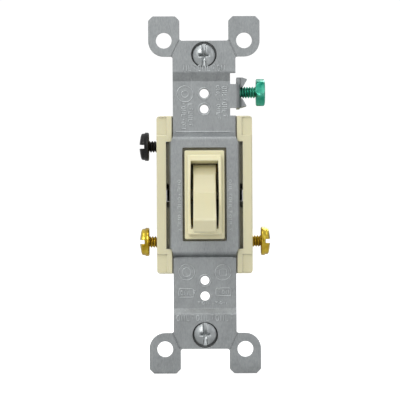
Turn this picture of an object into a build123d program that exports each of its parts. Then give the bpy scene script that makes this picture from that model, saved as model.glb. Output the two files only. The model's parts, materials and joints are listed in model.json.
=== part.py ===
from build123d import *
from math import asin, cos, degrees, radians, sin, sqrt
import os

# A framed three-way toggle switch. Millimetres. +Z runs up the strap, +X to the right and the front is -Y.
# The origin lies midway between the two mounting screws, on the back face of the strap's ends.
# The lever is drawn tip down, and the four side screws are drawn backed out.

# Strap
SHEET = 1.0                     # strap thickness
STRAP_HALF_LENGTH = 53.05       # to the ends of the plaster ears
STRAP_END = 45.8                # the edge between two ears
STRAP_HALF_WIDTH = 9.35
EAR_INNER, EAR_OUTER, EAR_START = 7.27, 16.55, 41.05
EAR_HOLE_X, EAR_HOLE_Z, EAR_HOLE_R = 11.92, 45.84, 2.35
END_Y, RECESS_Y, MIDDLE_Y = -0.5, 0.5, -1.5     # centre of the sheet at each level
LEVELS_Z = (36.5, 33.9, 18.4, 16.7)             # where the sheet turns, top half
LOWER_STEP_Z, LOWER_FOLD_Z = (-17.3, -18.4), (-34.0, -35.5)
FLANGE_TOP, FLANGE_BOTTOM, FLANGE_X = 15.7, -16.0, 9.93
WINDOW_HALF_WIDTH, WINDOW_TOP, WINDOW_BOTTOM = 6.53, 14.0, -13.75
PLATE_SCREW_Z, PLATE_SCREW_R = 30.165, 1.39     # tapped holes for the cover plate
PILOT_Z, PILOT_R = 25.5, 1.3
BOX_SCREW_PITCH = 83.34                         # standard device-box spacing
DIMPLE_R, DIMPLE_DEPTH, BOSS_R = 3.8, 0.75, 4.45  # the pressed seat of each mounting screw

# Mouldings
CASE_HALF_WIDTH, CASE_HALF_HEIGHT = 14.23, 23.45
RAIL_FRONT, PARTING_Y, FLOOR_Y, CASE_BACK = -0.6, 6.0, 23.0, 25.0
RAIL_INNER, BLOCK_INNER = 11.4, 9.7
BLOCKS_START = (-16.1, 15.8)                    # where the corner blocks begin, lower and upper
SLOT_TOP, SLOT_BOTTOM = 3.3, -3.7               # the slot that each strap leg passes through
LEG_Z = (-1.9, 1.5)                             # the leg itself
MOAT = 0.8                                      # the gap round the plateau, behind the window's edge
SEAM = 0.25                                     # bevel along the line where the two mouldings meet
PLATEAU = (11.84, 26.3, -2.9)                   # width, height, front
RIM = (10.1, 23.65, -5.2)
OPENING_HALF_WIDTH, OPENING_HALF_HEIGHT, OPENING_BOW = 4.0, 10.1, 0.22
LIP_HALF_HEIGHT, LIP_Y = 9.13, -0.3

# Lever
PIVOT_Y = 4.5
LEVER_HALF_WIDTH = 3.35
LEVER_ANGLE = 21.0                              # each way from straight out
TRUNNION_R, TRUNNION_X = 1.5, 6.3
RUNNING = 0.05                                  # radial running clearance
SKIRT_R, SKIRT_WALL = 10.2, 1.1
TIP = (25.5, 2.12)                              # distance from the pivot, half thickness
CREASE = (9.5, 4.18)
SHOULDER = (5.78, 8.38)
BALL_R, LEVER_BALL = 1.3, 5.2

# Contacts
FULCRUM_Y, FULCRUM_R = 20.1, 0.6
ROCKER_TILT = 6.0
ROCKER_PLATE = (-1.4, -0.6)                     # front and back faces, from the fulcrum's axis
CONTACT_Z, CONTACT_R, DOME = 9.0, 1.5, 0.4
ROCKER_BALL = -2.3
STRIP_Y = 22.2                                  # front of the brass strips on the floor

# Screws
THREAD_R = 1.75
SIDE_SCREW_Y, GROUND_SCREW_Y = 11.25, 6.8
SIDE_HEAD = (                                   # distance from the underside, radius
    (0, 4.05), (0.25, 4.3), (1.15, 4.3), (1.2, 4.05), (1.95, 4.0), (2.28, 3.75), (2.5, 3.05), (2.7, 1.9),
    (2.85, 0.87), (2.88, 0))
SIDE_THREAD = 7.0
SLOT_WIDTH, SLOT_DEPTH = 1.26, 1.5
HEX_ACROSS, HEX_HEIGHT, HEX_TURN = 7.45, 2.75, 14
MOUNT_HEAD_R, MOUNT_HEAD_H, MOUNT_LENGTH = 3.4, 1.9, 19.0
MOUNT_NECK_R, MOUNT_NECK = 1.35, 1.9            # the plain neck that the retainer sits on
MOUNT_SCREW_Z = 41.42                           # the screws hang a little inward in their slots
RETAINER_R, RETAINER_Y = 4.2, (0.77, 1.57)
COMMON = (-16.75, 14.65)                         # head's inner face, height
TRAVELER_LEFT = (-16.75, -14.2)
TRAVELER_RIGHT = (17.0, -14.05)
GROUND = (15.55, 30.7)

# Terminals
PLATE_INNER, PLATE_OUTER = 10.4, 11.4
PLATE_HALF_HEIGHT, PLATE_BACK = 5.6, 17.0
POCKET_HALF_HEIGHT, POCKET_BACK = 5.3, 16.5
WIRE_X, WIRE_R, WIRE_OFFSET = 9.1, 1.15, 4.0
TERMINALS = [                                   # side, screw, and the span of the plate's leg
    (-1, COMMON, (9.3, 13.3)), (-1, TRAVELER_LEFT, (-13.0, -9.0)), (1, TRAVELER_RIGHT, (-13.0, -9.0))]


# Shapes

def block(x0, x1, y0, y1, z0, z1):
    """A box between two corners."""
    size = Box(abs(x1 - x0), abs(y1 - y0), abs(z1 - z0))
    return Pos((x0 + x1) / 2, (y0 + y1) / 2, (z0 + z1) / 2) * size


def rod_x(radius, x0, x1, y, z):
    """A cylinder along X."""
    return Pos((x0 + x1) / 2, y, z) * Rotation(0, 90, 0) * Cylinder(radius, abs(x1 - x0))


def rod_y(radius, y0, y1, x, z):
    """A cylinder along Y."""
    return Pos(x, (y0 + y1) / 2, z) * Rotation(90, 0, 0) * Cylinder(radius, abs(y1 - y0))


def front_plate(sketch, y0, y1):
    """A front elevation, drawn in x and z, made solid from y0 back to y1."""
    return extrude(Plane.XZ.offset(-y1) * sketch, y1 - y0, dir=(0, -1, 0))


def side_plate(sketch, x0, x1):
    """A side elevation, drawn in y and z, made solid from x0 to x1."""
    return extrude(Plane.YZ.offset(x0) * sketch, x1 - x0, dir=(1, 0, 0))


def bent_sheet(points, radius, width, z0):
    """A folded strip of the given width up Z, drawn along its middle in x and y."""
    section = trace(FilletPolyline(*points, radius=radius), width[0])
    return Pos(0, 0, z0) * extrude(section, width[1], dir=(0, 0, 1))


def near(sketch, points, reach=0.05):
    """The sketch's corners at the given places."""
    return [v for v in sketch.vertices() if any(abs(v.X - x) + abs(v.Y - z) < reach for x, z in points)]


def four_ways(x, z):
    """A point and its three mirror images."""
    return [(i * x, j * z) for i in (-1, 1) for j in (-1, 1)]


# Strap

def strap_outline():
    """The front elevation of the strap: centre strip, middle shoulders and four ears."""
    strip = Rectangle(2 * STRAP_HALF_WIDTH, 2 * STRAP_END)
    shoulders = Polygon(
        (-FLANGE_X, FLANGE_TOP), (-STRAP_HALF_WIDTH, FLANGE_TOP + 1.6),
        (STRAP_HALF_WIDTH, FLANGE_TOP + 1.6), (FLANGE_X, FLANGE_TOP),
        (FLANGE_X, FLANGE_BOTTOM), (STRAP_HALF_WIDTH, FLANGE_BOTTOM - 1.6),
        (-STRAP_HALF_WIDTH, FLANGE_BOTTOM - 1.6), (-FLANGE_X, FLANGE_BOTTOM), align=None)
    ear = Pos((EAR_INNER + EAR_OUTER) / 2, (EAR_START + STRAP_HALF_LENGTH) / 2) * Rectangle(
        EAR_OUTER - EAR_INNER, STRAP_HALF_LENGTH - EAR_START)
    cut = 1.3
    ear = chamfer(near(ear, [(EAR_INNER, STRAP_HALF_LENGTH), (EAR_OUTER, STRAP_HALF_LENGTH)]), cut)
    ear = fillet(near(ear, [(EAR_INNER, STRAP_HALF_LENGTH - cut), (EAR_INNER + cut, STRAP_HALF_LENGTH),
                            (EAR_OUTER - cut, STRAP_HALF_LENGTH), (EAR_OUTER, STRAP_HALF_LENGTH - cut)]), 0.6)
    ear = fillet(near(ear, [(EAR_OUTER, EAR_START)]), EAR_OUTER - EAR_HOLE_X)
    upper = [ear, mirror(ear, about=Plane.YZ)]
    ears = upper + [mirror(e, about=Plane.XZ) for e in upper]
    outline = Sketch() + strip + shoulders + ears
    outline = fillet(near(outline, four_ways(EAR_INNER, STRAP_END)), 0.7)
    outline = fillet(near(outline, four_ways(STRAP_HALF_WIDTH, EAR_START)), 0.6)
    for x, z in four_ways(EAR_HOLE_X, EAR_HOLE_Z):
        outline -= Pos(x, z) * Circle(EAR_HOLE_R)
    return outline


def strap_sheet():
    """The folded sheet, seen from the side, before its outline is cut."""
    top = [(END_Y, STRAP_HALF_LENGTH), (END_Y, LEVELS_Z[0]), (RECESS_Y, LEVELS_Z[1]),
           (RECESS_Y, LEVELS_Z[2]), (MIDDLE_Y, LEVELS_Z[3])]
    bottom = [(MIDDLE_Y, LOWER_STEP_Z[0]), (RECESS_Y, LOWER_STEP_Z[1]), (RECESS_Y, LOWER_FOLD_Z[0]),
              (END_Y, LOWER_FOLD_Z[1]), (END_Y, -STRAP_HALF_LENGTH)]
    section = trace(FilletPolyline(*top, *bottom, radius=0.8), SHEET)
    return side_plate(section, -EAR_OUTER, EAR_OUTER)


def score_line(side, end):
    """The shallow groove that an ear snaps off along."""
    run, rise = 2.2, STRAP_END - EAR_START
    groove = Box(0.4, 0.3, sqrt(run ** 2 + rise ** 2))
    tilt = degrees(asin(run / sqrt(run ** 2 + rise ** 2)))
    centre = Pos(side * (EAR_INNER + 1.3), END_Y - SHEET / 2, end * (STRAP_END + EAR_START) / 2)
    return centre * Rotation(0, -side * end * tilt, 0) * groove


def ground_tab():
    """The tab bent back from the strap's right edge, with flared lips that keep the ground wire in."""
    bridge = bent_sheet([(7.5, RECESS_Y), (10.2, RECESS_Y), (10.2, 11.5)], 0.7, (SHEET, 7.14), 25.79)
    plate = block(9.7, 10.7, 2.4, 11.5, 26.2, 35.0)
    upper = Polygon((9.7, 35.0), (11.4, 35.05), (12.9, 34.55), (11.65, 32.4), (10.6, 31.9), (9.7, 31.9),
                    align=None)
    lower = Polygon((9.7, 26.2), (11.2, 26.15), (12.7, 26.6), (11.5, 28.7), (10.6, 29.1), (9.7, 29.1),
                    align=None)
    lips = [front_plate(lip, 3.2, 10.4) for lip in (upper, lower)]
    collar = rod_x(2.6, 8.8, 9.8, GROUND_SCREW_Y, GROUND[1])
    bore = rod_x(THREAD_R + RUNNING, 8.0, 13.0, GROUND_SCREW_Y, GROUND[1])
    return bridge + plate + lips + collar - bore


def strap_leg():
    """The right side's flange, and the leg that runs back to the clinch."""
    flange = bent_sheet([(8.0, MIDDLE_Y), (FLANGE_X, MIDDLE_Y), (FLANGE_X, 3.0)], 0.6,
                        (SHEET, FLANGE_TOP - FLANGE_BOTTOM), FLANGE_BOTTOM)
    clinch_y = CASE_BACK - SHEET / 2
    leg = bent_sheet([(FLANGE_X, 2.0), (FLANGE_X, 3.2), (10.8, 5.0), (10.8, clinch_y), (7.6, clinch_y)],
                     0.6, (SHEET, LEG_Z[1] - LEG_Z[0]), LEG_Z[0])
    return flange + leg


def screw_seat(strap, height):
    """Press the round seat for a mounting screw back into the sheet, and pierce its oblong hole."""
    strap += rod_y(BOSS_R, -SHEET / 2, DIMPLE_DEPTH, 0, height) & block(-9, 9, -2, 2, -STRAP_END, STRAP_END)
    strap -= rod_y(DIMPLE_R, -2, DIMPLE_DEPTH - SHEET, 0, height)
    return strap - front_plate(Pos(0, height) * SlotOverall(6.4, 4.6), -2, 2)


def make_strap():
    outline = front_plate(strap_outline(), MIDDLE_Y - 1, RECESS_Y + 1)
    strap = strap_sheet() & outline
    strap -= block(7.74, 12, -3, 3, 23.56, 36.15)
    window = RectangleRounded(2 * WINDOW_HALF_WIDTH, WINDOW_TOP - WINDOW_BOTTOM, 0.4)
    strap -= front_plate(Pos(0, (WINDOW_TOP + WINDOW_BOTTOM) / 2) * window, MIDDLE_Y - 1, 1)
    right = strap_leg()
    strap += [right, mirror(right, about=Plane.YZ), ground_tab()]
    for end in (-1, 1):
        strap += rod_y(2.2, RECESS_Y, RECESS_Y + 1.3, 0, end * PLATE_SCREW_Z)
        strap -= rod_y(PLATE_SCREW_R, -1, 3, 0, end * PLATE_SCREW_Z)
        strap -= rod_y(PILOT_R, -1, 3, 0, end * PILOT_Z)
        strap = screw_seat(strap, end * BOX_SCREW_PITCH / 2)
        strap -= [score_line(side, end) for side in (-1, 1)]
    return strap


# Mouldings

def opening():
    """The lever's opening: bowed long sides, and end walls that slope in to the lip."""
    half, top = OPENING_HALF_WIDTH, OPENING_HALF_HEIGHT + 1
    right = ThreePointArc((half, -top), (half + OPENING_BOW, 0), (half, top))
    left = ThreePointArc((-half, top), (-half - OPENING_BOW, 0), (-half, -top))
    ends = [Line((half, top), (-half, top)), Line((-half, -top), (half, -top))]
    bowed = front_plate(make_face([right, left, *ends]), RIM[2] - 1, LIP_Y)
    slope = (OPENING_HALF_HEIGHT - LIP_HALF_HEIGHT) / (LIP_Y - RIM[2])
    mouth = OPENING_HALF_HEIGHT + slope
    walls = Polygon((RIM[2] - 1, mouth), (LIP_Y, LIP_HALF_HEIGHT),
                    (LIP_Y, -LIP_HALF_HEIGHT), (RIM[2] - 1, -mouth), align=None)
    return bowed & side_plate(walls, -6, 6)


def bezel():
    """The two-step collar that stands through the strap's window."""
    plateau = front_plate(RectangleRounded(PLATEAU[0], PLATEAU[1], 0.5), PLATEAU[2], 1.5)
    rim = front_plate(RectangleRounded(RIM[0], RIM[1], 0.6), RIM[2], 0)
    plateau = fillet(plateau.faces().sort_by(Axis.Y)[0].edges(), 0.3)
    rim = fillet(rim.faces().sort_by(Axis.Y)[0].edges(), 0.4)
    return plateau + rim


def cover_blanks():
    """The cover's plate with its rails and corner blocks, and the raised seat under the strap."""
    outline = RectangleRounded(2 * CASE_HALF_WIDTH, 2 * CASE_HALF_HEIGHT, 1.0)
    case = front_plate(outline, RAIL_FRONT, PARTING_Y)
    case = chamfer(case.faces().sort_by(Axis.Y)[0].edges(), 0.3)
    case = chamfer(case.faces().sort_by(Axis.Y)[-1].edges(), SEAM)
    channel = block(-BLOCK_INNER, BLOCK_INNER, -2, 1.02, -25, 25)
    groove = block(-RAIL_INNER, RAIL_INNER, -2, 3.6, *BLOCKS_START)
    seat = block(-9.25, 9.25, -0.98, 3.7, *BLOCKS_START)
    moat = Rectangle(PLATEAU[0] + 2 * MOAT, PLATEAU[1] + 2.4 * MOAT)
    moat -= Rectangle(PLATEAU[0] - 1, PLATEAU[1] - 1)
    return case - channel - groove + (seat - front_plate(moat, -2, 1.2))


def trunnion_slot(side):
    """An open-backed bearing for one of the lever's trunnions."""
    slot = block(side * 3.9, side * 6.4, PIVOT_Y, PARTING_Y + 1, -TRUNNION_R - RUNNING, TRUNNION_R + RUNNING)
    return slot + rod_x(TRUNNION_R + RUNNING, side * 3.9, side * 6.4, PIVOT_Y, 0)


def make_front_cover():
    cover = cover_blanks() + bezel()
    cover -= opening()
    cover -= rod_x(SKIRT_R + 0.1, -OPENING_HALF_WIDTH, OPENING_HALF_WIDTH, PIVOT_Y, 0)
    for side in (-1, 1):
        cover -= trunnion_slot(side)
        cover -= block(side * 9.35, side * RAIL_INNER, 3, 7, SLOT_BOTTOM, SLOT_TOP)
        for end in (-1, 1):
            cover -= block(side * 11.2, side * 15, -2, RAIL_FRONT + 0.4, end * 17.7, end * 23.1)
    for end in (-1, 1):
        cover -= block(-8.6, 8.6, 3.2, 7, end * 12.4, end * 21.8)
    return cover


def cavity():
    """The room for the contacts, narrower between the strap's legs, with a shelf under each trunnion."""
    room = block(-8.8, 8.8, PARTING_Y - 1, FLOOR_Y, -21.9, 21.9)
    for end in (-1, 1):
        room += block(-10.35, 10.35, PARTING_Y - 1, FLOOR_Y, end * 5, end * 21.9)
    for side in (-1, 1):
        room -= block(side * 4.3, side * 9, PARTING_Y + 0.08, 10, -1.4, 1.4)
    return room


def terminal_seat(side, height, leg_z):
    """The side pocket for one terminal screw, and the slots that its plate stands in."""
    low, high = height - POCKET_HALF_HEIGHT, height + POCKET_HALF_HEIGHT
    slot = PLATE_HALF_HEIGHT + 0.05
    pocket = block(side * 10.3, side * 15, PARTING_Y - 1, POCKET_BACK, low, high)
    plate = block(side * 10.3, side * (PLATE_OUTER + 0.05), PARTING_Y - 1, PLATE_BACK + 0.05,
                  height - slot, height + slot)
    leg = block(side * 10.3, side * (PLATE_OUTER + 0.05), 15, FLOOR_Y, leg_z[0] - 0.05, leg_z[1] + 0.05)
    return pocket + plate + leg


def wire_entry(x, z):
    """A push-in wire hole with a funnel mouth, and the release slot beside it."""
    bore = rod_y(WIRE_R, FLOOR_Y - 1, CASE_BACK + 1, x, z)
    funnel = Pos(x, CASE_BACK - 0.3, z) * Rotation(90, 0, 0) * Cone(WIRE_R + 0.6, WIRE_R, 0.6)
    inner = x - 2.6 * (1 if x > 0 else -1)
    return bore + funnel + block(inner - 0.5, inner + 0.5, FLOOR_Y - 1, CASE_BACK + 1, z - 1.6, z + 1.6)


def make_back_housing():
    outline = RectangleRounded(2 * CASE_HALF_WIDTH, 2 * CASE_HALF_HEIGHT, 1.0)
    housing = front_plate(outline, PARTING_Y, CASE_BACK)
    housing = chamfer(housing.faces().sort_by(Axis.Y)[-1].edges(), 0.9)
    housing = chamfer(housing.faces().sort_by(Axis.Y)[0].edges(), SEAM)
    housing -= cavity()
    for side, (_, height), leg_z in TERMINALS:
        housing -= terminal_seat(side, height, leg_z)
        housing -= wire_entry(side * WIRE_X, wire_height(height))
    housing -= block(12.4, 15, PARTING_Y - 1, POCKET_BACK, COMMON[1] - POCKET_HALF_HEIGHT,
                     COMMON[1] + POCKET_HALF_HEIGHT)
    low, high = LEG_Z[0] - 0.05, LEG_Z[1] + 0.05
    for side in (-1, 1):
        housing -= block(side * 10.2, side * 15, PARTING_Y - 1, CASE_BACK + 1, low, high)
        housing -= block(side * 10.2, side * RAIL_INNER, PARTING_Y - 1, 14, SLOT_BOTTOM, SLOT_TOP)
        housing -= block(side * 7.5, side * 15, CASE_BACK - SHEET - 0.05, CASE_BACK + 1, -2.2, 1.8)
    housing -= block(-1.3, 1.3, CASE_BACK - 0.7, CASE_BACK + 1, -19.0, -3.0)
    return housing


# Lever

def lever_skirt():
    """The upper half's shoulder and the curved skirt that closes the opening, straight-out position."""
    angle = radians(88)
    outer = [(-SHOULDER[0], SHOULDER[1]), (-SKIRT_R * cos(radians(72)), SKIRT_R * sin(radians(72))),
             (-SKIRT_R * cos(angle), SKIRT_R * sin(angle))]
    inner_r = SKIRT_R - SKIRT_WALL
    inner = [(-inner_r * cos(angle), inner_r * sin(angle)),
             (-inner_r * cos(radians(76)), inner_r * sin(radians(76))),
             (-inner_r * cos(radians(62)), inner_r * sin(radians(62)))]
    edges = [Line((-CREASE[0], CREASE[1]), outer[0]), ThreePointArc(*outer), Line(outer[2], inner[0]),
             ThreePointArc(*inner), Line(inner[2], (-7.0, 2.6)), Line((-7.0, 2.6), (-CREASE[0], CREASE[1]))]
    return make_face(edges)


def make_toggle_lever():
    """Drawn straight out about the pivot, then turned tip down."""
    shaft = Polygon((-TIP[0], -TIP[1]), (-CREASE[0], -CREASE[1]), (-3, -3.2), (0, -3.2),
                    (0, 3.2), (-3, 3.2), (-CREASE[0], CREASE[1]), (-TIP[0], TIP[1]), align=None)
    shaft = fillet(near(shaft, [(-TIP[0], TIP[1]), (-TIP[0], -TIP[1])]), 0.7)
    skirt = lever_skirt()
    profile = Sketch() + shaft + skirt + mirror(skirt, about=Plane.XZ) + Circle(3.4)
    lever = side_plate(profile, -LEVER_HALF_WIDTH, LEVER_HALF_WIDTH)
    sides = [e for e in lever.edges() if abs(e.center().X) > LEVER_HALF_WIDTH - 0.01]
    lever = fillet([e for e in sides if e.center().Y < -7.5], 0.45)
    lever += rod_x(TRUNNION_R, -TRUNNION_X, TRUNNION_X, 0, 0)
    lever += rod_y(BALL_R, 0, LEVER_BALL, 0, 0)
    lever += Pos(0, LEVER_BALL, 0) * Sphere(BALL_R)
    return Pos(0, PIVOT_Y, 0) * Rotation(LEVER_ANGLE, 0, 0) * lever


# Contacts

def dome_radius():
    return (CONTACT_R ** 2 + DOME ** 2) / (2 * DOME)


def fixed_face():
    """The depth of the fixed contacts' faces, 0.02 mm clear of the moving dome at full tilt."""
    centre = ROCKER_PLATE[1] + 0.5 + DOME - dome_radius()
    tilt = radians(ROCKER_TILT)
    return FULCRUM_Y + centre * cos(tilt) + CONTACT_Z * sin(tilt) + dome_radius() + 0.02


def tilted(shape):
    """Place a rocker piece, drawn about the fulcrum, with its lower end on its contact."""
    return Pos(0, FULCRUM_Y, 0) * Rotation(ROCKER_TILT, 0, 0) * shape


def make_contact_rocker():
    front, back = ROCKER_PLATE
    plate = block(-2.1, 2.1, front, back, -11, 11)
    saddle = rod_x(1.45, -2.1, 2.1, 0, 0) & block(-3, 3, -3, 0, -3, 3)
    nub = rod_y(1.1, ROCKER_BALL, front, 0, 0) + Pos(0, ROCKER_BALL, 0) * Sphere(BALL_R)
    rocker = plate + saddle + nub - rod_x(FULCRUM_R + RUNNING, -3, 3, 0, 0)
    for end in (-1, 1):
        rocker -= rod_y(0.8, front - 1, back + 1, 0, end * CONTACT_Z)
    return tilted(rocker)


def make_moving_contacts():
    """Two domed rivets, peened over on the rocker's front."""
    front, back = ROCKER_PLATE
    rim, apex = back + 0.5, back + 0.5 + DOME
    edge = dome_radius() * sin(asin(CONTACT_R / dome_radius()) / 2)
    bulge = apex - dome_radius() + sqrt(dome_radius() ** 2 - edge ** 2)
    outline = [Polyline((0, apex), (0, front - 0.35), (1.15, front - 0.35), (1.15, front), (0.8, front),
                        (0.8, back), (CONTACT_R, back), (CONTACT_R, rim)),
               ThreePointArc((CONTACT_R, rim), (edge, bulge), (0, apex))]
    rivet = revolve(make_face(outline), Axis.Y)
    return Compound(children=[tilted(Pos(0, 0, end * CONTACT_Z) * rivet) for end in (-1, 1)])


def make_fixed_contact(end):
    return rod_y(1.75, fixed_face(), STRIP_Y, 0, end * CONTACT_Z)


def terminal_plate(side, height, leg_z):
    """The plate that the side screw threads into, with a leg back to the housing's floor."""
    plate = block(side * PLATE_INNER, side * PLATE_OUTER, PARTING_Y + 0.05, PLATE_BACK,
                  height - PLATE_HALF_HEIGHT, height + PLATE_HALF_HEIGHT)
    leg = block(side * PLATE_INNER, side * PLATE_OUTER, PLATE_BACK - 1, FLOOR_Y, *leg_z)
    return plate + leg - rod_x(THREAD_R + RUNNING, side * 9, side * 13, SIDE_SCREW_Y, height)


def floor_strip(x0, x1, z0, z1):
    return block(x0, x1, STRIP_Y, FLOOR_Y, z0, z1)


def make_common_terminal():
    side, (_, height), leg_z = TERMINALS[0]
    arm = floor_strip(-PLATE_OUTER, -4, *leg_z) + floor_strip(-7, -4, -1.75, leg_z[1])
    arm += floor_strip(-7, 2.5, -1.75, 1.75)
    fulcrum = block(-2.2, 2.2, FULCRUM_Y, STRIP_Y, -0.45, 0.45) + rod_x(FULCRUM_R, -2.2, 2.2, FULCRUM_Y, 0)
    return terminal_plate(side, height, leg_z) + arm + fulcrum


def make_traveler_terminal_left():
    side, (_, height), leg_z = TERMINALS[1]
    arm = floor_strip(-PLATE_OUTER, -8, *leg_z) + floor_strip(-10.3, 2.5, -11.5, -7)
    return terminal_plate(side, height, leg_z) + arm


def make_traveler_terminal_right():
    side, (_, height), leg_z = TERMINALS[2]
    arm = floor_strip(4.3, PLATE_OUTER, -13, -10) + floor_strip(4.3, 7.3, -13, 11)
    return terminal_plate(side, height, leg_z) + arm + floor_strip(-2.5, 7.3, 7, 11)


def wire_height(height):
    return height + (WIRE_OFFSET if height > 0 else -WIRE_OFFSET)


def make_wire_clip(side, height):
    """A folded spring strip whose tongue bites the pushed-in wire against the terminal plate."""
    path = [(PLATE_INNER, 8.2), (6.9, 8.2), (6.9, 17.0), (9.4, 12.6)]
    clip = bent_sheet(path, 0.5, (0.4, 3.2), wire_height(height) - 1.6)
    return clip if side > 0 else mirror(clip, about=Plane.YZ)


def make_toggle_spring():
    """A straight coil from the lever's ball to the rocker's ball."""
    turn, tilt = radians(LEVER_ANGLE), radians(ROCKER_TILT)
    start = Vector(0, PIVOT_Y + LEVER_BALL * cos(turn), LEVER_BALL * sin(turn))
    end = Vector(0, FULCRUM_Y + ROCKER_BALL * cos(tilt), ROCKER_BALL * sin(tilt))
    length, wire_r, coil_r = (end - start).length, 0.27, 1.85
    coil = Helix(pitch=1.2, height=length, radius=coil_r)
    wire = sweep(Plane(coil @ 0, z_dir=coil % 0) * Circle(wire_r), path=coil, is_frenet=True)
    return Plane(start, x_dir=(1, 0, 0), z_dir=end - start) * wire


# Screws

def side_screw(head_x, height):
    """A terminal screw with a flanged, domed and slotted head, threaded towards the middle."""
    top, tip = SIDE_HEAD[-1][0], -SIDE_THREAD
    outline = Polyline(*SIDE_HEAD, (tip, 0), (tip, 1.2), (tip + 0.6, THREAD_R), (0, THREAD_R), close=True)
    screw = revolve(make_face(outline), Axis.X)
    screw -= block(top - SLOT_DEPTH, top + 1, -5, 5, -SLOT_WIDTH / 2, SLOT_WIDTH / 2)
    screw = screw if head_x > 0 else mirror(screw, about=Plane.YZ)
    return Pos(head_x, SIDE_SCREW_Y, height) * screw


def make_ground_screw():
    """A hex head, crowned on both faces and slotted."""
    prism = Plane.YZ * extrude(Rotation(0, 0, HEX_TURN) * RegularPolygon(HEX_ACROSS / sqrt(3), 6), HEX_HEIGHT)
    crown = Polyline((0, 0), (0, 3.7), (0.3, 4.35), (HEX_HEIGHT - 0.55, 4.35), (HEX_HEIGHT - 0.1, 3.7),
                     (HEX_HEIGHT, 3.1), (HEX_HEIGHT, 0), close=True)
    shank = Polyline((0.5, 0), (-7, 0), (-7, 1.2), (-6.4, THREAD_R), (0.5, THREAD_R), close=True)
    screw = (prism & revolve(make_face(crown), Axis.X)) + revolve(make_face(shank), Axis.X)
    screw -= block(HEX_HEIGHT - 1.1, HEX_HEIGHT + 1, -0.55, 0.55, -5, 5)
    return Pos(GROUND[0], GROUND_SCREW_Y, GROUND[1]) * screw


def make_mounting_screw(end):
    """An oval head with a cross and a slot, drawn along Y with its underside at the origin."""
    tip = MOUNT_LENGTH
    outline = [Polyline((0, -MOUNT_HEAD_H), (0, tip), (0.9, tip), (THREAD_R, tip - 1.4),
                        (THREAD_R, MOUNT_NECK), (MOUNT_NECK_R, MOUNT_NECK), (MOUNT_NECK_R, 0),
                        (MOUNT_HEAD_R - 0.15, 0), (MOUNT_HEAD_R, -0.6)),
               ThreePointArc((MOUNT_HEAD_R, -0.6), (2.1, -1.55), (0, -MOUNT_HEAD_H))]
    screw = revolve(make_face(outline), Axis.Y)
    screw -= block(-0.62, 0.62, -3, -MOUNT_HEAD_H + 1.4, -4, 4)
    for turn in (0, 90):
        wing = extrude(Rectangle(3.7, 1.3), 1.75, taper=20)
        screw -= Pos(0, -MOUNT_HEAD_H - 0.1, 0) * Rotation(0, turn, 0) * Rotation(-90, 0, 0) * wing
    return Pos(0, DIMPLE_DEPTH - SHEET, end * MOUNT_SCREW_Z) * screw


def make_screw_retainer(end):
    """The fibre washer that keeps the mounting screw from falling out."""
    washer = Circle(RETAINER_R) - Circle(THREAD_R + RUNNING)
    return front_plate(Pos(0, end * MOUNT_SCREW_Z) * washer, *RETAINER_Y)


os.makedirs("parts", exist_ok=True)
NODES = {
    "strap": make_strap(),
    "front_cover": make_front_cover(),
    "back_housing": make_back_housing(),
    "toggle_lever": make_toggle_lever(),
    "toggle_spring": make_toggle_spring(),
    "contact_rocker": make_contact_rocker(),
    "moving_contacts": make_moving_contacts(),
    "upper_fixed_contact": make_fixed_contact(1),
    "lower_fixed_contact": make_fixed_contact(-1),
    "common_terminal": make_common_terminal(),
    "traveler_terminal_left": make_traveler_terminal_left(),
    "traveler_terminal_right": make_traveler_terminal_right(),
    "common_wire_clip": make_wire_clip(-1, COMMON[1]),
    "traveler_wire_clip_left": make_wire_clip(-1, TRAVELER_LEFT[1]),
    "traveler_wire_clip_right": make_wire_clip(1, TRAVELER_RIGHT[1]),
    "common_screw": side_screw(*COMMON),
    "traveler_screw_left": side_screw(*TRAVELER_LEFT),
    "traveler_screw_right": side_screw(*TRAVELER_RIGHT),
    "ground_screw": make_ground_screw(),
    "mounting_screw_top": make_mounting_screw(1),
    "mounting_screw_bottom": make_mounting_screw(-1),
    "screw_retainer_top": make_screw_retainer(1),
    "screw_retainer_bottom": make_screw_retainer(-1),
}
for name, shape in NODES.items():
    export_step(shape, f"parts/{name}.step")
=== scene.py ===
import bpy
import bmesh
import json
from math import cos, pi, radians, sin, sqrt
from mathutils import Matrix, Vector


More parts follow.
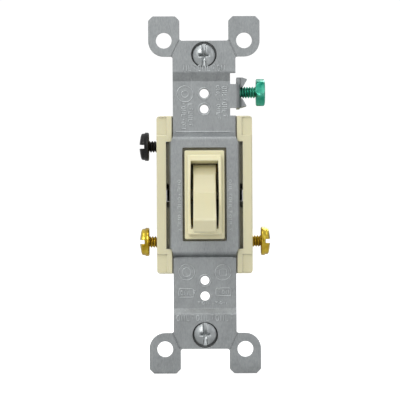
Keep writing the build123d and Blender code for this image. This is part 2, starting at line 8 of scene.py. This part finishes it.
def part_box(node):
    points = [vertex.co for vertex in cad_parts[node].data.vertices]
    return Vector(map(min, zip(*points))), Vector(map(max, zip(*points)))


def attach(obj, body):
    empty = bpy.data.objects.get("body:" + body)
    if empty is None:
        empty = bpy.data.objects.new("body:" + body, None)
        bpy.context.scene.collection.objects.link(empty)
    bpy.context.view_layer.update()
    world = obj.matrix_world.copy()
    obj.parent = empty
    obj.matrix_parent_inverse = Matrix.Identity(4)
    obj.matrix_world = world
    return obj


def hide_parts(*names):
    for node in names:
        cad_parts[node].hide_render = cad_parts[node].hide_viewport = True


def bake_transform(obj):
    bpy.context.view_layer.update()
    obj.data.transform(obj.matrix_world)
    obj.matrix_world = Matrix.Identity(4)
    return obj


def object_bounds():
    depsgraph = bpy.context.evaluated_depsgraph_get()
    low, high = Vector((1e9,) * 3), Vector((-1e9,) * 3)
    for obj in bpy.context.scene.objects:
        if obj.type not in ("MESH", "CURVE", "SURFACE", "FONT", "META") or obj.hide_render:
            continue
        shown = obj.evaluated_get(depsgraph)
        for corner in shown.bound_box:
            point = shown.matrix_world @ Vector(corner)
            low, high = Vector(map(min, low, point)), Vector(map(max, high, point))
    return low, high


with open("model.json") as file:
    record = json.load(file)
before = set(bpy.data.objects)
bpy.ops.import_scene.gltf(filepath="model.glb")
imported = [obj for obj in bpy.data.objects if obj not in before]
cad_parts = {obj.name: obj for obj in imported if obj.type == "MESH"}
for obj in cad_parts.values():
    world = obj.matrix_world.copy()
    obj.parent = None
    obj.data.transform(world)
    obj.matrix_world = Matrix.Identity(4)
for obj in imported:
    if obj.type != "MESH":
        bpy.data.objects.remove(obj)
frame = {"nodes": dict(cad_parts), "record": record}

# A framed toggle wall switch, seen from straight in front. Metres, +Z up the strap, the front is -Y.

CAD_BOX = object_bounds()
MM = 0.001
VIEW_DISTANCE = 0.6
VIEW_WIDTH = 0.119              # width of the view at the strap
VIEW_ROLL = 0.28                # degrees
VIEW_CENTRE = (-1.37, -1.55)    # millimetres, x and z
THREAD_PITCH, THREAD_DEPTH = 0.794, 0.42    # the screws' measures are in millimetres
STUD_R, NECK_R, NECK_SIDES = 1.75, 1.33, 32
LAP = 0.3                       # how far a shank reaches into its head
SIDE_HEAD_HEIGHT, HEX_HEIGHT, OVAL_HEIGHT, OVAL_NECK = 2.88, 2.75, 1.9, 1.9
RECESS_FRONT, END_FRONT, MIDDLE_FRONT = 0.0, -1.0, -2.0     # front face of the strap at its three levels
COLOUR_A, COLOUR_B, COLOUR_OUT = 6, 7, 2    # a Mix node's sockets in its colour mode


# Nodes

def add(tree, kind, **values):
    """A shader node. Values are set on its inputs, or on the node itself."""
    node = tree.nodes.new(kind)
    for key, value in values.items():
        name = key.replace("_", " ")
        found = next((i for i in node.inputs if i.name.lower() == name.lower()), None)
        if found is not None:
            found.default_value = value
        else:
            setattr(node, key, value)
    return node


def start_material(name):
    """An empty node material with its shader and output."""
    material = bpy.data.materials.new(name)
    material.use_nodes = True
    tree = material.node_tree
    tree.nodes.clear()
    output = tree.nodes.new("ShaderNodeOutputMaterial")
    shader = tree.nodes.new("ShaderNodeBsdfPrincipled")
    tree.links.new(shader.outputs[0], output.inputs[0])
    return material, tree, shader


def place(tree, scale):
    """Positions on the piece, scaled along each axis."""
    coordinates = tree.nodes.new("ShaderNodeTexCoord")
    mapping = tree.nodes.new("ShaderNodeMapping")
    mapping.inputs["Scale"].default_value = scale
    tree.links.new(coordinates.outputs["Object"], mapping.inputs[0])
    return mapping


def noise(tree, scale, detail=3, stretch=(1, 1, 1), rough=0.5):
    """Noise over the piece, drawn out along the axes with a low stretch."""
    texture = add(tree, "ShaderNodeTexNoise", Scale=scale, Detail=detail, Roughness=rough)
    tree.links.new(place(tree, stretch).outputs[0], texture.inputs[0])
    return texture


def spread(tree, source, low, high, start=0.3, end=0.7):
    """A source between start and end becomes a number between low and high."""
    ramp = add(tree, "ShaderNodeMapRange", From_Min=start, From_Max=end, To_Min=low, To_Max=high)
    tree.links.new(source.outputs[0], ramp.inputs[0])
    return ramp


def edge_wear_and_highlight_mask(tree, radius, strength=0.35):
    """How near a point is to an outer edge, and the normal with its edges rounded. The edge mask lightens
    colours partly as wear and partly as a painted highlight on rounded edges.
    """
    bevel = add(tree, "ShaderNodeBevel", Radius=radius, samples=6)
    geometry = tree.nodes.new("ShaderNodeNewGeometry")
    dot = add(tree, "ShaderNodeVectorMath", operation="DOT_PRODUCT")
    tree.links.new(bevel.outputs[0], dot.inputs[0])
    tree.links.new(geometry.outputs["Normal"], dot.inputs[1])
    edge = add(tree, "ShaderNodeMapRange", From_Min=0.72, From_Max=0.99, To_Min=strength, To_Max=0.0)
    tree.links.new(dot.outputs["Value"], edge.inputs[0])
    return bevel, edge


def crevices(tree, reach, darkest, shut=0.15, clear=0.75):
    """How far a point is out in the open, which sets painted shade: darkest in a narrow gap, 1 in the clear.
    """
    shade = add(tree, "ShaderNodeAmbientOcclusion", Distance=reach, samples=8)
    ramp = add(tree, "ShaderNodeMapRange", From_Min=shut, From_Max=clear, To_Min=darkest, To_Max=1.0)
    tree.links.new(shade.outputs["AO"], ramp.inputs[0])
    return ramp


def tint(tree, factor, dark, light):
    """A colour between two, by a factor."""
    mix = tree.nodes.new("ShaderNodeMix")
    mix.data_type = "RGBA"
    mix.inputs[COLOUR_A].default_value = (*dark, 1)
    mix.inputs[COLOUR_B].default_value = (*light, 1)
    tree.links.new(factor.outputs[0], mix.inputs[0])
    return mix


def lighten(tree, colour, factor, light):
    """The colour, turned to the light one where the factor is high."""
    mix = tree.nodes.new("ShaderNodeMix")
    mix.data_type = "RGBA"
    tree.links.new(colour.outputs[COLOUR_OUT], mix.inputs[COLOUR_A])
    mix.inputs[COLOUR_B].default_value = (*light, 1)
    tree.links.new(factor.outputs[0], mix.inputs[0])
    return mix


def shaded(tree, colour, openness, shadow):
    """The colour, turned to its shadow colour in the crevices."""
    mix = tree.nodes.new("ShaderNodeMix")
    mix.data_type = "RGBA"
    mix.inputs[COLOUR_A].default_value = (*shadow, 1)
    tree.links.new(colour.outputs[COLOUR_OUT], mix.inputs[COLOUR_B])
    tree.links.new(openness.outputs[0], mix.inputs[0])
    return mix


def rough_surface(tree, shader, height, strength, distance, normal):
    """Bumps of the given height on the shader, over the rounded normal."""
    bump = add(tree, "ShaderNodeBump", Strength=strength, Distance=distance)
    tree.links.new(height.outputs[0], bump.inputs["Height"])
    tree.links.new(normal.outputs[0], bump.inputs["Normal"])
    tree.links.new(bump.outputs[0], shader.inputs["Normal"])


# Materials

def galvanised(name, dark, light, gap):
    """Rolled, zinc-coated sheet: upright grain, faint blotches and scratches, cut edges lightened partly as
    wear and partly as a painted highlight, painted shade in the gaps.
    """
    material, tree, shader = start_material(name)
    grain = noise(tree, 3000, 4, (1, 1, 0.30), 0.65)
    blotch = noise(tree, 330, 5, (1, 1, 0.7), 0.62)
    scratch = noise(tree, 1500, 2, (1, 1, 0.03), 0.5)
    bevel, edge = edge_wear_and_highlight_mask(tree, 0.00016, 0.6)
    grey = tint(tree, spread(tree, grain, 0, 1, 0.30, 0.70), dark, light)
    streaked = lighten(tree, grey, spread(tree, scratch, 0, 0.45, 0.66, 0.80), (0.60, 0.62, 0.63))
    cloud = add(tree, "ShaderNodeHueSaturation")
    tree.links.new(spread(tree, blotch, 0.82, 1.12).outputs[0], cloud.inputs["Value"])
    tree.links.new(streaked.outputs[COLOUR_OUT], cloud.inputs["Color"])
    # Edges lightened towards pale steel: partly cut-edge wear, partly a painted highlight.
    edge_lit_colour = tree.nodes.new("ShaderNodeMix")
    edge_lit_colour.data_type = "RGBA"
    edge_lit_colour.inputs[COLOUR_B].default_value = (0.72, 0.74, 0.75, 1)
    tree.links.new(cloud.outputs[0], edge_lit_colour.inputs[COLOUR_A])
    tree.links.new(edge.outputs[0], edge_lit_colour.inputs[0])
    # Painted shade: the colour goes near black in narrow gaps, such as around the screw heads and the bezel.
    colour = shaded(tree, edge_lit_colour, crevices(tree, 0.0013, gap, 0.30, 0.78), (0.02, 0.02, 0.018))
    tree.links.new(colour.outputs[COLOUR_OUT], shader.inputs["Base Color"])
    tree.links.new(spread(tree, blotch, 0.42, 0.58).outputs[0], shader.inputs["Roughness"])
    shader.inputs["Metallic"].default_value = 1.0
    rough_surface(tree, shader, grain, 0.25, 0.00003, bevel)
    return material


def forward(tree, back, front):
    """0 at one depth along Y and 1 at the other."""
    coordinates = tree.nodes.new("ShaderNodeTexCoord")
    parts = tree.nodes.new("ShaderNodeSeparateXYZ")
    tree.links.new(coordinates.outputs["Object"], parts.inputs[0])
    share = add(tree, "ShaderNodeMapRange", From_Min=back, From_Max=front, To_Min=0.0, To_Max=0.8)
    tree.links.new(parts.outputs["Y"], share.inputs[0])
    return share


def ivory(name, base, light, roughness, shadow_reach):
    """Moulded thermoplastic: fine satin, slight flow marks, a painted highlight on the edges, painted light
    that makes it paler in front, painted shade in the crevices.
    """
    material, tree, shader = start_material(name)
    flow = noise(tree, 120, 3, (1, 1, 0.4))
    grain = noise(tree, 5200, 2, (1, 1, 1), 0.6)
    bevel, edge = edge_wear_and_highlight_mask(tree, 0.00030, 0.75)
    dark = tuple(0.95 * c for c in base)
    front_lit_colour = tuple(min(0.93, 1.25 * c) for c in base)
    colour = tint(tree, spread(tree, flow, 0, 1), dark, base)
    # Painted light: the colour turns paler the further forward a face stands.
    colour = lighten(tree, colour, forward(tree, -0.001, -0.0052), front_lit_colour)
    # Painted highlight: rounded edges turned pale, as if catching the light.
    colour = lighten(tree, colour, edge, light)
    # Painted shade: brown-black in narrow gaps and pockets, such as beside the lever and around the window.
    colour = shaded(tree, colour, crevices(tree, shadow_reach, 0.22, 0.12, 0.55), (0.10, 0.075, 0.030))
    tree.links.new(colour.outputs[COLOUR_OUT], shader.inputs["Base Color"])
    satin = spread(tree, flow, roughness - 0.05, roughness + 0.06)
    tree.links.new(satin.outputs[0], shader.inputs["Roughness"])
    shader.inputs["IOR"].default_value = 1.53
    shader.inputs["Subsurface Weight"].default_value = 0.12
    shader.inputs["Subsurface Radius"].default_value = (0.0012, 0.0009, 0.0005)
    shader.inputs["Subsurface Scale"].default_value = 1.0
    rough_surface(tree, shader, grain, 0.06, 0.00001, bevel)
    return material


def turned_metal(name, dark, light, roughness, wear_and_highlight_colour, metallic=1.0):
    """A headed and plated screw: faint turning marks, patchy plating, edges lightened partly as wear and
    partly as a painted highlight, painted shade in the recesses.
    """
    material, tree, shader = start_material(name)
    patch = noise(tree, 420, 3, (1, 1, 1), 0.5)
    fine = noise(tree, 6000, 2)
    bevel, edge = edge_wear_and_highlight_mask(tree, 0.00014, 0.7)
    # Edges lightened partly as plating wear and partly as a painted highlight.
    colour = lighten(tree, tint(tree, spread(tree, patch, 0, 1), dark, light), edge, wear_and_highlight_colour)
    shadow = tuple(0.10 * c for c in dark)
    # Painted shade: near black in the slots, recesses and tight gaps.
    colour = shaded(tree, colour, crevices(tree, 0.0006, 0.20, 0.20, 0.70), shadow)
    tree.links.new(colour.outputs[COLOUR_OUT], shader.inputs["Base Color"])
    polish = spread(tree, patch, roughness, roughness + 0.08)
    tree.links.new(polish.outputs[0], shader.inputs["Roughness"])
    shader.inputs["Metallic"].default_value = metallic
    rough_surface(tree, shader, fine, 0.08, 0.00001, bevel)
    return material


def fibre():
    """Vulcanised fibre washer: brown, with short pale strands."""
    material, tree, shader = start_material("fibre_detail")
    strands = noise(tree, 1400, 6, (1, 1, 0.25), 0.7)
    bevel, _ = edge_wear_and_highlight_mask(tree, 0.0001)
    colour = tint(tree, spread(tree, strands, 0, 1), (0.16, 0.075, 0.045), (0.36, 0.19, 0.12))
    tree.links.new(colour.outputs[COLOUR_OUT], shader.inputs["Base Color"])
    shader.inputs["Roughness"].default_value = 0.75
    rough_surface(tree, shader, strands, 0.5, 0.00004, bevel)
    return material


def paper_floor():
    """A matt white sweep that the camera sees burnt out to white, and that lights the object only softly."""
    material, tree, shader = start_material("studio_floor")
    mottle = noise(tree, 40, 3)
    colour = tint(tree, spread(tree, mottle, 0, 1), (0.54, 0.54, 0.54), (0.58, 0.58, 0.58))
    tree.links.new(colour.outputs[COLOUR_OUT], shader.inputs["Base Color"])
    shader.inputs["Roughness"].default_value = 0.9
    shader.inputs["Specular IOR Level"].default_value = 0.1
    shader.inputs["Emission Color"].default_value = (1, 1, 1, 1)
    path = tree.nodes.new("ShaderNodeLightPath")
    seen = add(tree, "ShaderNodeMapRange", To_Min=0.0, To_Max=0.75)
    tree.links.new(path.outputs["Is Camera Ray"], seen.inputs[0])
    tree.links.new(seen.outputs[0], shader.inputs["Emission Strength"])
    return material


SURFACES = {
    "galvanised_steel": galvanised("galvanised_steel_detail", (0.27, 0.283, 0.287), (0.37, 0.386, 0.391),
                                   0.06),
    # The raised marks use a lighter copy of the strap's steel: a painted highlight on the ridges.
    "lit_pressed_mark": galvanised("lit_pressed_mark_detail", (0.44, 0.46, 0.465), (0.56, 0.585, 0.59), 0.9),
    "ivory_plastic": ivory("ivory_plastic_detail", (0.70, 0.655, 0.43), (0.97, 0.93, 0.76), 0.33, 0.0016),
    "lever_plastic": ivory("lever_plastic_detail", (0.60, 0.56, 0.37), (0.90, 0.86, 0.67), 0.33, 0.0006),
    "brass": turned_metal("brass_detail", (0.58, 0.39, 0.12), (0.76, 0.55, 0.20), 0.30, (0.88, 0.70, 0.34)),
    "brass_screw": turned_metal("brass_screw_detail", (0.42, 0.26, 0.012), (0.82, 0.62, 0.08), 0.16,
                                (0.96, 0.80, 0.27)),
    "silver": turned_metal("silver_detail", (0.70, 0.70, 0.69), (0.88, 0.88, 0.86), 0.25, (0.92, 0.92, 0.9)),
    "spring_steel": turned_metal("spring_steel_detail", (0.34, 0.34, 0.35), (0.5, 0.5, 0.51), 0.3,
                                 (0.62, 0.62, 0.63)),
    "black_screw": turned_metal("black_screw_detail", (0.007, 0.007, 0.007), (0.020, 0.019, 0.018), 0.38,
                                (0.15, 0.145, 0.14), 0.6),
    "green_screw": turned_metal("green_screw_detail", (0.015, 0.30, 0.19), (0.14, 0.60, 0.44), 0.27,
                                (0.50, 0.92, 0.78)),
    "zinc_screw": turned_metal("zinc_screw_detail", (0.38, 0.40, 0.405), (0.54, 0.565, 0.57), 0.34,
                               (0.92, 0.93, 0.93)),
    "fibre": fibre(),
}


def finish_node(obj, slot):
    """Give every material slot of a piece the detailed finish."""
    if not obj.data.materials:
        obj.data.materials.append(SURFACES[slot])
    for i in range(len(obj.data.materials)):
        obj.data.materials[i] = SURFACES[slot]


# Screws

def thread(bm, place_point, start, end, major):
    """A V thread between two depths along its own axis, closed with a chamfered tip. Millimetres."""
    around, step = 40, THREAD_PITCH / 12
    count = max(2, int((end - start) / step))
    rings = []
    for i in range(count + 1):
        depth = start + (end - start) * i / count
        fade = min(1.0, (end - depth) / 0.9, (depth - start) / 0.35 + 0.15)
        ring = []
        for j in range(around):
            turn = j / around
            phase = (depth / THREAD_PITCH + turn) % 1.0
            crest = min(1.0, max(0.0, 1.5 - abs(phase - 0.5) * 3.4))
            radius = major - THREAD_DEPTH + THREAD_DEPTH * crest * max(0.0, fade)
            angle = 2 * pi * turn
            ring.append(bm.verts.new(place_point(depth, radius * cos(angle), radius * sin(angle))))
        rings.append(ring)
    for a, b in zip(rings, rings[1:]):
        for j in range(around):
            k = (j + 1) % around
            bm.faces.new((a[j], a[k], b[k], b[j]))
    bm.faces.new(rings[-1])


def threaded_screw(node, body, slot, axis, head_height, neck=0.0):
    """The CAD screw's own head, with a V thread in place of its plain shank, past a neck if it has one."""
    low, high = (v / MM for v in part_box(node))
    middle = (low + high) / 2
    index = "xyz".index(axis[1])
    inward = 1 if axis[0] == "+" else -1
    face = (low[index] + head_height) if inward > 0 else (high[index] - head_height)
    tip = high[index] if inward > 0 else low[index]
    others = [i for i in range(3) if i != index]

    def place_point(depth, a, b):
        point = [0, 0, 0]
        point[index] = face + inward * depth
        point[others[0]] = middle[others[0]] + a
        point[others[1]] = middle[others[1]] + b
        return Vector(point) * MM

    mesh = bpy.data.objects[node].data.copy()
    bm = bmesh.new()
    bm.from_mesh(mesh)
    bmesh.ops.remove_doubles(bm, verts=bm.verts, dist=1e-7)
    shank = []
    for f in bm.faces:
        depths = [(v.co[index] / MM - face) * inward for v in f.verts]
        reach = [sqrt(sum((v.co[i] / MM - middle[i]) ** 2 for i in others)) for v in f.verts]
        if max(reach) < STUD_R + 0.06 and min(depths) > -0.03:
            shank.append(f)
    bmesh.ops.delete(bm, geom=shank, context="FACES")
    length = abs(tip - face)
    if neck:
        turns = [2 * pi * j / NECK_SIDES for j in range(NECK_SIDES)]
        around = [(NECK_R * cos(t), NECK_R * sin(t)) for t in turns]
        under, over = ([bm.verts.new(place_point(depth, *p)) for p in around] for depth in (-LAP, neck + LAP))
        for j in range(NECK_SIDES):
            k = (j + 1) % NECK_SIDES
            bm.faces.new((under[j], under[k], over[k], over[j]))
    thread(bm, place_point, neck - (0.0 if neck else LAP), length, STUD_R - 0.01)
    bmesh.ops.recalc_face_normals(bm, faces=bm.faces)
    bm.to_mesh(mesh)
    bm.free()
    mesh.name = node + "_threaded"
    mesh.polygons.foreach_set("use_smooth", [True] * len(mesh.polygons))
    mesh.set_sharp_from_angle(angle=radians(32))
    screw = bpy.data.objects.new(node + "_threaded", mesh)
    bpy.context.scene.collection.objects.link(screw)
    finish_node(screw, slot)
    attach(screw, body)
    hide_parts(node)


# Raised marks on the strap, generic: rings, frames and rows of short strokes

def ring_path(x, z, radius, y, points=40):
    """A circle, and that it is closed."""
    turns = [2 * pi * i / points for i in range(points)]
    return [(x + radius * cos(t), y, z + radius * sin(t)) for t in turns], True


def box_path(x0, x1, z0, z1, y, corner=0.5):
    """A rectangle with rounded corners, and that it is closed."""
    path = []
    for cx, cz, first in ((x1 - corner, z1 - corner, 0), (x0 + corner, z1 - corner, 90),
                          (x0 + corner, z0 + corner, 180), (x1 - corner, z0 + corner, 270)):
        for turn in (0, 30, 60, 90):
            angle = radians(first + turn)
            path.append((cx + corner * cos(angle), y, cz + corner * sin(angle)))
    return path, True


def stroke(x0, z0, x1, z1, y):
    """A straight line, and that it is open."""
    return [(x0, y, z0), (x1, y, z1)], False


def run_of_marks(start, step, size, count, y):
    """Small generic marks side by side: a ring, a pair of bars, a hook, a short stroke under a bar."""
    out = []
    length = sqrt(step[0] ** 2 + step[1] ** 2)
    right = Vector((step[0] / length, 0, step[1] / length)) * (0.30 * length)
    up = Vector((-step[1] / length, 0, step[0] / length)) * (size / 2)
    for i in range(count):
        at = Vector((start[0] + i * step[0], y, start[1] + i * step[1]))
        kind = (i * 5 + count) % 4
        if kind == 0:
            turns = [2 * pi * k / 12 for k in range(12)]
            out.append(([at + right * cos(t) + up * sin(t) for t in turns], True))
        elif kind == 1:
            out += [([at - right - up, at - right + up], False), ([at + right - up, at + right + up], False)]
        elif kind == 2:
            out.append(([at - right + up, at - right - up, at + right - up], False))
        else:
            out += [([at - up * 0.5, at + up * 0.5], False), ([at - right + up, at + right + up], False)]
    return out


def raised_marks(name, paths, radius):
    """Half-buried round ridges along the paths, as one mesh on the strap, in the lighter steel that paints a
    highlight on them.
    """
    curve = bpy.data.curves.new(name, "CURVE")
    curve.dimensions = "3D"
    curve.bevel_depth = radius * MM
    curve.bevel_resolution = 2
    curve.use_fill_caps = True
    for points, closed in paths:
        spline = curve.splines.new("POLY")
        spline.points.add(len(points) - 1)
        for p, q in zip(spline.points, points):
            p.co = (q[0] * MM, q[1] * MM, q[2] * MM, 1)
        spline.use_cyclic_u = closed
    holder = bpy.data.objects.new(name + "_line", curve)
    bpy.context.scene.collection.objects.link(holder)
    bpy.context.view_layer.update()
    mesh = bpy.data.meshes.new_from_object(holder.evaluated_get(bpy.context.evaluated_depsgraph_get()))
    bpy.data.objects.remove(holder)
    piece = bpy.data.objects.new(name, mesh)
    bpy.context.scene.collection.objects.link(piece)
    mesh.polygons.foreach_set("use_smooth", [True] * len(mesh.polygons))
    finish_node(piece, "lit_pressed_mark")
    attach(piece, "frame")


def strap_marks():
    """The marks on the strap's recesses, ends and middle strips."""
    y, end_y, middle_y = RECESS_FRONT + 0.06, END_FRONT + 0.06, MIDDLE_FRONT + 0.05
    upper = [ring_path(-5.7, 30.0, 2.4, y), ring_path(-5.7, 30.0, 1.0, y), ring_path(0, 30.165, 1.72, y),
             ring_path(0, 25.5, 1.78, y), stroke(-8.4, 18.78, 7.8, 18.78, y)]
    upper += run_of_marks((-6.1, 27.0), (0, -1.15), 1.3, 7, y)
    upper += run_of_marks((-4.1, 26.6), (0, -1.15), 1.3, 6, y)
    upper += run_of_marks((4.2, 32.0), (0, -1.2), 1.2, 4, y)
    upper += run_of_marks((6.1, 31.8), (0, -1.2), 1.5, 8, y)
    upper += run_of_marks((4.3, 26.4), (0, -1.2), 1.1, 4, y)
    lower = [ring_path(-5.44, -23.0, 2.35, y), ring_path(-5.44, -23.0, 1.3, y), ring_path(0, -25.5, 1.78, y),
             stroke(-8.9, -18.72, 8.4, -18.72, y), ring_path(5.38, -23.1, 2.35, y),
             box_path(4.3, 6.5, -24.0, -22.2, y, 0.4), box_path(-7.8, -3.4, -30.5, -27.9, y),
             box_path(3.2, 7.7, -30.1, -27.8, y)]
    lower += run_of_marks((-6.9, -29.2), (1.25, 0), 1.3, 4, y)
    lower += run_of_marks((4.2, -28.95), (1.2, 0), 1.2, 3, y)
    lower += run_of_marks((-1.8, -32.2), (1.3, 0), 0.7, 7, y)
    ends = run_of_marks((-5.6, 37.65), (1.42, 0), 1.7, 9, end_y)
    ends += run_of_marks((-8.0, -36.6), (1.45, 0), 1.7, 12, end_y)
    middle = run_of_marks((-7.5, 4.0), (0, -1.3), 0.9, 12, middle_y)
    middle += run_of_marks((7.6, 4.0), (0, -1.3), 0.9, 12, middle_y)
    raised_marks("strap_marks_upper", upper, 0.21)
    raised_marks("strap_marks_lower", lower, 0.21)
    raised_marks("strap_marks_ends", ends, 0.21)
    raised_marks("strap_marks_middle", middle, 0.13)


# Spring

def over_centre_spring():
    """The coil from the lever's ball to the front of the rocker's ball, built for one fixed swing of the
    lever.
    """
    swing, tilt = radians(21), radians(6)
    pivot_y, lever_ball, fulcrum_y, rocker_ball, short_of_ball = 4.5, 5.2, 20.1, 2.3, 0.5
    start = Vector((0, pivot_y + lever_ball * cos(swing), lever_ball * sin(swing)))
    end = Vector((0, fulcrum_y - rocker_ball * cos(tilt) - short_of_ball, 0))
    along = (end - start).normalized()
    side = Vector((1, 0, 0))
    up = along.cross(side)
    turns, steps, around = 7.5, 24, 10
    wire, coil, widening = 0.27, 1.85, 0.15
    climb = (end - start).length / (2 * pi * turns * coil)
    bm = bmesh.new()
    rings = []
    total = int(turns * steps)
    for i in range(total + 1):
        share = i / total
        angle = 2 * pi * turns * share
        outward = side * cos(angle) + up * sin(angle)
        centre = start + (end - start) * share + outward * (coil + widening * share)
        ahead = (along * climb + (up * cos(angle) - side * sin(angle))).normalized()
        across = outward.cross(ahead)
        angles = [2 * pi * j / around for j in range(around)]
        circle = [centre + (outward * cos(t) + across * sin(t)) * wire for t in angles]
        rings.append([bm.verts.new(point * MM) for point in circle])
    for a, b in zip(rings, rings[1:]):
        for j in range(around):
            k = (j + 1) % around
            bm.faces.new((a[j], a[k], b[k], b[j]))
    bm.faces.new(rings[0])
    bm.faces.new(rings[-1])
    bmesh.ops.recalc_face_normals(bm, faces=bm.faces)
    mesh = bpy.data.meshes.new("toggle_spring_coil")
    bm.to_mesh(mesh)
    bm.free()
    mesh.polygons.foreach_set("use_smooth", [True] * len(mesh.polygons))
    spring = bpy.data.objects.new("toggle_spring_coil", mesh)
    bpy.context.scene.collection.objects.link(spring)
    finish_node(spring, "spring_steel")
    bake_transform(spring)
    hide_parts("toggle_spring")


# Studio

def studio_floor():
    """A wide floor just under the switch."""
    low = CAD_BOX[0][2]
    mesh = bpy.data.meshes.new("studio_floor")
    bm = bmesh.new()
    bmesh.ops.create_grid(bm, x_segments=24, y_segments=24, size=3.0)
    bm.to_mesh(mesh)
    bm.free()
    floor = bpy.data.objects.new("studio_floor", mesh)
    floor.location = (0, 0, low - 0.0002)
    mesh.materials.append(paper_floor())
    bpy.context.scene.collection.objects.link(floor)


def area_light(name, location, size, power, colour=(1, 1, 1)):
    """A rectangular light, aimed at the middle of the switch."""
    data = bpy.data.lights.new(name, "AREA")
    data.shape = "RECTANGLE"
    data.size, data.size_y = size
    data.energy = power
    data.color = colour
    light = bpy.data.objects.new(name, data)
    light.location = location
    light.rotation_euler = (-light.location).to_track_quat("-Z", "Y").to_euler()
    bpy.context.scene.collection.objects.link(light)


def studio_world():
    """White to the camera; to the object, a room that is brighter overhead and to the left."""
    world = bpy.data.worlds.new("studio")
    bpy.context.scene.world = world
    world.use_nodes = True
    tree = world.node_tree
    tree.nodes.clear()
    output = tree.nodes.new("ShaderNodeOutputWorld")
    path = tree.nodes.new("ShaderNodeLightPath")
    coordinates = tree.nodes.new("ShaderNodeTexCoord")
    towards = add(tree, "ShaderNodeVectorMath", operation="DOT_PRODUCT")
    towards.inputs[1].default_value = (-0.34, 0.0, 0.94)
    tree.links.new(coordinates.outputs["Generated"], towards.inputs[0])
    height = add(tree, "ShaderNodeMapRange", From_Min=-0.7, From_Max=0.9, To_Min=0.12, To_Max=0.88)
    tree.links.new(towards.outputs["Value"], height.inputs[0])
    room = add(tree, "ShaderNodeBackground", Color=(0.97, 0.985, 1.0, 1))
    tree.links.new(height.outputs[0], room.inputs["Strength"])
    white = add(tree, "ShaderNodeBackground", Color=(1, 1, 1, 1), Strength=1.05)
    mix = tree.nodes.new("ShaderNodeMixShader")
    tree.links.new(path.outputs["Is Camera Ray"], mix.inputs[0])
    tree.links.new(room.outputs[0], mix.inputs[1])
    tree.links.new(white.outputs[0], mix.inputs[2])
    tree.links.new(mix.outputs[0], output.inputs[0])


def camera():
    """Straight in front, level, with a slight roll."""
    data = bpy.data.cameras.new("camera")
    data.sensor_width = 36
    data.lens = 36 * VIEW_DISTANCE / VIEW_WIDTH
    data.clip_start, data.clip_end = 0.01, 20
    data.dof.use_dof = False
    cam = bpy.data.objects.new("camera", data)
    cam.matrix_world = (Matrix.Translation((VIEW_CENTRE[0] * MM, -VIEW_DISTANCE, VIEW_CENTRE[1] * MM))
                        @ Matrix.Rotation(radians(90), 4, "X") @ Matrix.Rotation(radians(-VIEW_ROLL), 4, "Z"))
    bpy.context.scene.collection.objects.link(cam)
    bpy.context.scene.camera = cam


camera()
studio_world()
studio_floor()
area_light("key", (-0.34, -0.74, 0.52), (0.40, 0.30), 2.5, (1.0, 0.99, 0.97))
area_light("front", (-0.12, -1.0, 0.02), (0.8, 0.40), 1.45)
area_light("top", (-0.05, -0.25, 0.80), (0.5, 0.3), 1.0)
area_light("side", (0.75, -0.35, 0.28), (0.3, 0.5), 0.4)
area_light("back", (0.3, 0.6, 0.5), (0.5, 0.5), 2.5)

for entry in frame["record"]["subparts"]:
    finish_node(frame["nodes"][entry["node"]], entry["material_slot"])

threaded_screw("common_screw", "common", "black_screw", "+x", SIDE_HEAD_HEIGHT)
threaded_screw("traveler_screw_left", "traveler_left", "brass_screw", "+x", SIDE_HEAD_HEIGHT)
threaded_screw("traveler_screw_right", "traveler_right", "brass_screw", "-x", SIDE_HEAD_HEIGHT)
threaded_screw("ground_screw", "ground", "green_screw", "-x", HEX_HEIGHT)
threaded_screw("mounting_screw_top", "mount_top", "zinc_screw", "+y", OVAL_HEIGHT, OVAL_NECK)
threaded_screw("mounting_screw_bottom", "mount_bottom", "zinc_screw", "+y", OVAL_HEIGHT, OVAL_NECK)
strap_marks()
over_centre_spring()

bpy.context.scene.view_settings.view_transform = "Standard"
bpy.context.scene.view_settings.look = "None"
